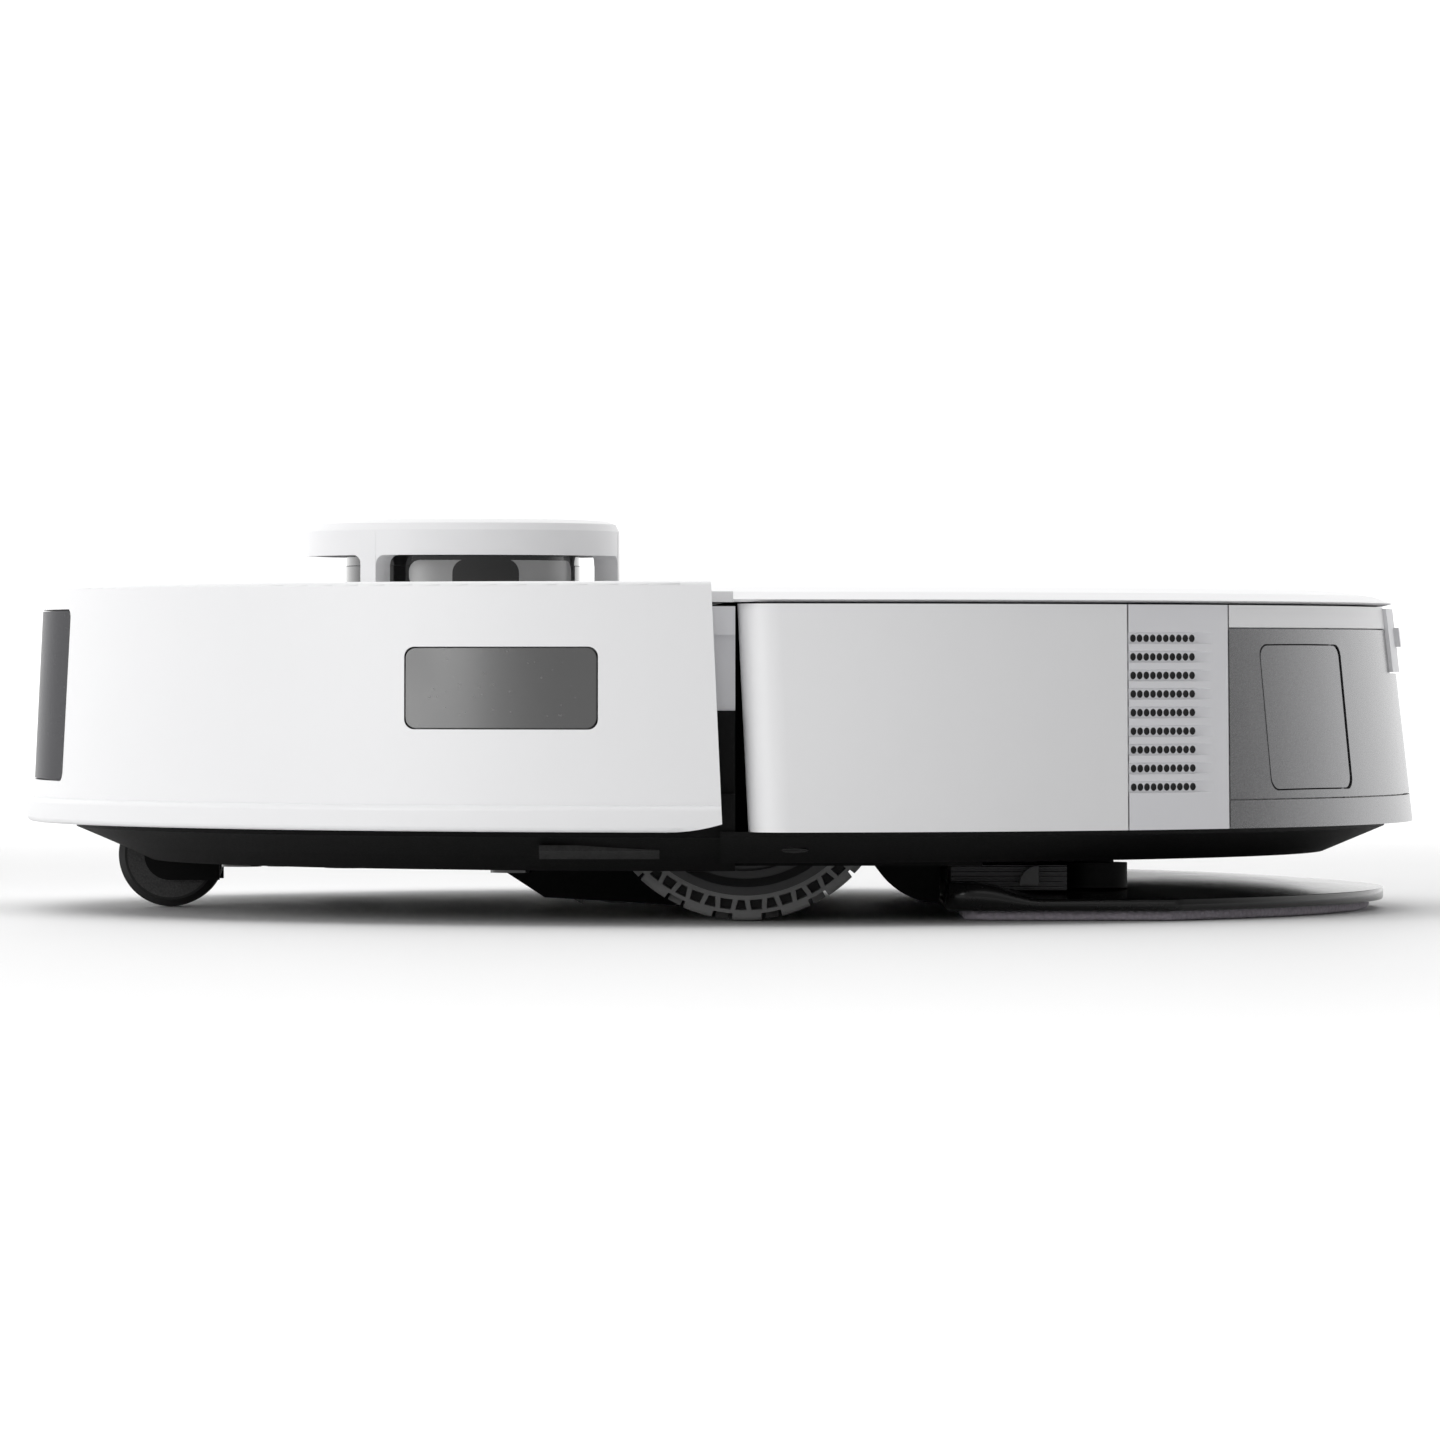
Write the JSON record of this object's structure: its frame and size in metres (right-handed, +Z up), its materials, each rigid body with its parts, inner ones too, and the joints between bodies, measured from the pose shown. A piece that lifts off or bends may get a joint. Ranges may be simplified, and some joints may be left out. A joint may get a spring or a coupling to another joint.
{
  "type": "robot vacuum",
  "caption": "Round robot vacuum and mop with a sprung front bumper, laser turret on legs, hinged top cover, suspended drive wheels, swivel caster, roller, side brush and lifting mop plate.",
  "frame": {"origin": "on the floor under the centre of the round body", "axes": "front towards -Y, left side towards +X, up along +Z"},
  "size_m": [0.353, 0.353, 0.0987],
  "materials": {
    "white_shell": "satin white ABS with a very fine grain",
    "warm_white": "satin off-white ABS",
    "grey_metallic": "metallic grey paint on plastic",
    "window_grey": "dark translucent infrared window",
    "black_plastic": "fine-grained black ABS",
    "dark_plastic": "dark grey ABS",
    "mop_gloss": "glossy black plastic",
    "rotor_gloss": "glossy black with a dark lens band",
    "tyre_grey": "moulded grey rubber",
    "caster_rubber": "black rubber",
    "caster_grey": "textured dark grey plastic",
    "pad_cloth": "lilac-grey microfibre",
    "felt": "dark felt",
    "fin_rubber": "soft grey rubber",
    "bristle": "black nylon bristles",
    "steel": "bright steel",
    "contact_metal": "plated contact",
    "motor_metal": "zinc-plated can",
    "battery_wrap": "shrink wrap over cells",
    "board_green": "circuit board",
    "clear_smoke": "smoked plastic",
    "belt_rubber": "toothed rubber belt"
  },
  "bodies": {
    "body": {"base_chassis": "black_plastic", "battery_pack": "battery_wrap", "bin_filter": "pad_cloth", "charge_contacts": "contact_metal", "chassis_screws": "steel", "cliff_sensors": "rotor_gloss", "cover_hinge_pins": "steel", "docking_plate": "warm_white", "dust_bin": "clear_smoke", "dust_door_pin": "steel", "exhaust_grille_left": "warm_white", "exhaust_grille_right": "warm_white", "fan_housing": "dark_plastic", "front_deck": "white_shell", "front_sensor_module": "rotor_gloss", "main_board": "board_green", "mid_frame": "warm_white", "mop_lift_housings": "dark_plastic", "mop_nose_fairing": "black_plastic", "rear_frame": "white_shell", "rear_panel": "grey_metallic", "rear_skirt": "grey_metallic", "roller_guard": "black_plastic", "roller_motor": "motor_metal", "side_brush_motor": "motor_metal", "side_felt_pads": "felt", "side_panel_left": "white_shell", "side_panel_right": "white_shell", "turret_base": "black_plastic", "turret_belt": "belt_rubber", "turret_motor": "motor_metal", "turret_springs": "steel", "water_tank": "clear_smoke"},
    "bumper": {"bumper_shell": "white_shell", "front_window": "window_grey", "side_windows": "window_grey"},
    "turret_cap": {"turret_cap": "white_shell"},
    "turret_rotor": {"turret_rotor": "rotor_gloss"},
    "turret_pulley": {"turret_pulley": "dark_plastic"},
    "power_button": {"power_button": "warm_white"},
    "top_cover": {"top_cover": "white_shell"},
    "dust_door": {"dust_door": "grey_metallic"},
    "drive_arm_left": {"drive_arm_left": "dark_plastic"},
    "drive_arm_right": {"drive_arm_right": "dark_plastic"},
    "drive_wheel_left": {"drive_tyre_left": "tyre_grey", "drive_hub_left": "dark_plastic"},
    "drive_wheel_right": {"drive_tyre_right": "tyre_grey", "drive_hub_right": "dark_plastic"},
    "caster_fork": {"caster_fork": "black_plastic", "caster_axle": "steel"},
    "caster_wheel": {"caster_wheel": "caster_grey", "caster_tyre": "caster_rubber"},
    "roller": {"roller_core": "dark_plastic", "roller_fins": "fin_rubber"},
    "side_brush": {"side_brush_hub": "dark_plastic", "side_brush_bristles": "bristle"},
    "mop": {"mop_plate": "mop_gloss", "mop_lift_posts": "black_plastic", "mop_pad": "pad_cloth"},
    "fan": {"fan_impeller": "dark_plastic"}
  },
  "joints": [
    {"name": "bumper_press", "type": "slide", "parent": "body", "child": "bumper", "axis": [0, 1, 0], "range_m": [0, 0.0035], "stiffness_N_per_m": 900},
    {"name": "turret_press", "type": "slide", "parent": "body", "child": "turret_cap", "axis": [0, 0, -1], "range_m": [0, 0.001], "stiffness_N_per_m": 3000, "deforming": ["turret_springs"]},
    {"name": "rotor_spin", "type": "hinge", "parent": "body", "child": "turret_rotor", "pos_m": [0, -0.0657, 0.08], "axis": [0, 0, 1], "continuous": true},
    {"name": "pulley_spin", "type": "hinge", "parent": "body", "child": "turret_pulley", "pos_m": [0, -0.1107, 0.075], "axis": [0, 0, 1], "continuous": true},
    {"name": "button_press", "type": "slide", "parent": "body", "child": "power_button", "axis": [0, 0, -1], "range_m": [0, 0.001], "stiffness_N_per_m": 1000},
    {"name": "cover_hinge", "type": "hinge", "parent": "body", "child": "top_cover", "pos_m": [0, -0.017, 0.0776], "axis": [1, 0, 0], "range_deg": [0, 75]},
    {"name": "dust_door_hinge", "type": "hinge", "parent": "body", "child": "dust_door", "pos_m": [0.08083, 0.15131, 0.04859], "axis": [-0.0592, -0.0878, 0.9944], "range_deg": [0, 60], "stiffness_Nm_per_rad": 0.004},
    {"name": "caster_swivel", "type": "hinge", "parent": "body", "child": "caster_fork", "pos_m": [0, -0.142, 0.03], "axis": [0, 0, 1], "continuous": true},
    {"name": "caster_roll", "type": "hinge", "parent": "caster_fork", "child": "caster_wheel", "pos_m": [0, -0.14, 0.0133], "axis": [1, 0, 0], "continuous": true},
    {"name": "roller_spin", "type": "hinge", "parent": "body", "child": "roller", "pos_m": [0, -0.0275, 0.0209], "axis": [1, 0, 0], "continuous": true},
    {"name": "side_brush_spin", "type": "hinge", "parent": "body", "child": "side_brush", "pos_m": [-0.105, -0.098, 0.01], "axis": [0, 0, 1], "continuous": true},
    {"name": "mop_raise", "type": "slide", "parent": "body", "child": "mop", "axis": [0, 0, 1], "range_m": [0, 0.006]},
    {"name": "fan_spin", "type": "hinge", "parent": "body", "child": "fan", "pos_m": [-0.014, 0.138, 0.035], "axis": [0, 0, 1], "continuous": true},
    {"name": "arm_droop_left", "type": "hinge", "parent": "body", "child": "drive_arm_left", "pos_m": [0.098, 0.048, 0.04], "axis": [1, 0, 0], "range_deg": [0, 14]},
    {"name": "wheel_roll_left", "type": "hinge", "parent": "drive_arm_left", "child": "drive_wheel_left", "pos_m": [0.117, 0.006, 0.037], "axis": [1, 0, 0], "continuous": true},
    {"name": "arm_droop_right", "type": "hinge", "parent": "body", "child": "drive_arm_right", "pos_m": [-0.098, 0.048, 0.04], "axis": [1, 0, 0], "range_deg": [0, 14]},
    {"name": "wheel_roll_right", "type": "hinge", "parent": "drive_arm_right", "child": "drive_wheel_right", "pos_m": [-0.117, 0.006, 0.037], "axis": [1, 0, 0], "continuous": true}
  ],
  "couplings": [
    {"joint": "pulley_spin", "follows": "rotor_spin", "ratio": 4}
  ]
}
